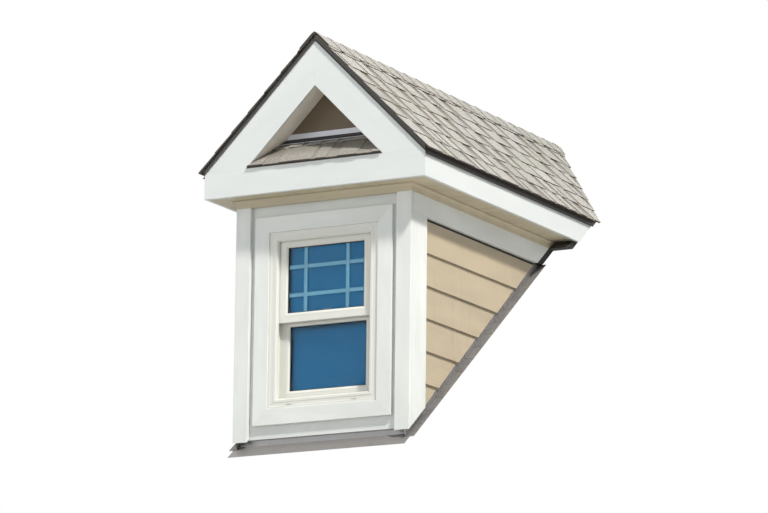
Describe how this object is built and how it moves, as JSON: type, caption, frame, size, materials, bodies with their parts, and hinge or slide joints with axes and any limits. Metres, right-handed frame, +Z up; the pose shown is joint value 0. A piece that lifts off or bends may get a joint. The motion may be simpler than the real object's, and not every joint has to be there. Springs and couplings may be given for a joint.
{
  "type": "dormer window",
  "caption": "Gabled roof dormer with a double-hung window, lap-sided cheeks, boxed eaves with returns and a shingled roof, cut to sit on a sloping main roof.",
  "frame": {"origin": "middle of the front foot, where the plane of the corner boards' front meets the surface of the main roof", "axes": "+X to the right seen from the street, +Y level into the roof, +Z up"},
  "size_m": [1.4248, 2.9689, 2.2894],
  "materials": {
    "framing_timber": "rough sawn",
    "sheathing_board": "pressed strands, matt",
    "white_trim": "smooth, slightly weathered",
    "white_fascia": "smooth bent sheet, satin",
    "tan_siding": "embossed grain, matt",
    "tan_soffit": "matt",
    "gable_board": "matt",
    "window_vinyl": "satin",
    "window_glass": "clear, polished",
    "roof_shingle": "mineral granules, matt",
    "dark_metal": "satin",
    "grey_flashing": "satin",
    "black_closure": "matt"
  },
  "bodies": {
    "root": {"front_sole_plate": "framing_timber", "cheek_sole_plates": "framing_timber", "front_studs": "framing_timber", "jack_studs": "framing_timber", "window_header": "framing_timber", "rough_sill": "framing_timber", "cheek_studs": "framing_timber", "front_top_plate": "framing_timber", "cheek_top_plates": "framing_timber", "rafters": "framing_timber", "ridge_board": "framing_timber", "valley_sleepers": "framing_timber", "front_sheathing": "sheathing_board", "cheek_sheathing": "sheathing_board", "roof_deck_left": "sheathing_board", "roof_deck_right": "sheathing_board", "return_deck": "sheathing_board", "front_panel": "white_trim", "corner_boards": "white_trim", "side_friezes": "white_trim", "window_casing": "white_trim", "return_fascia": "white_fascia", "eave_fascias": "white_fascia", "rake_board_left": "white_fascia", "rake_board_right": "white_fascia", "siding": "tan_siding", "soffit_front": "tan_soffit", "side_soffits": "tan_soffit", "front_bed_trim": "tan_soffit", "side_bed_trims": "tan_soffit", "rake_soffits": "tan_soffit", "gable_panel": "gable_board", "window_frame": "window_vinyl", "upper_sash": "window_vinyl", "lower_sash": "window_vinyl", "window_glass": "window_glass", "return_shingles": "roof_shingle", "shingles_left": "roof_shingle", "shingles_right": "roof_shingle", "ridge_cap": "roof_shingle", "eave_drip_edges": "dark_metal", "rake_drip_edge": "dark_metal", "gable_flashing": "grey_flashing", "apron_flashing": "grey_flashing", "step_flashings": "grey_flashing", "eave_closures": "black_closure"}
  },
  "joints": []
}
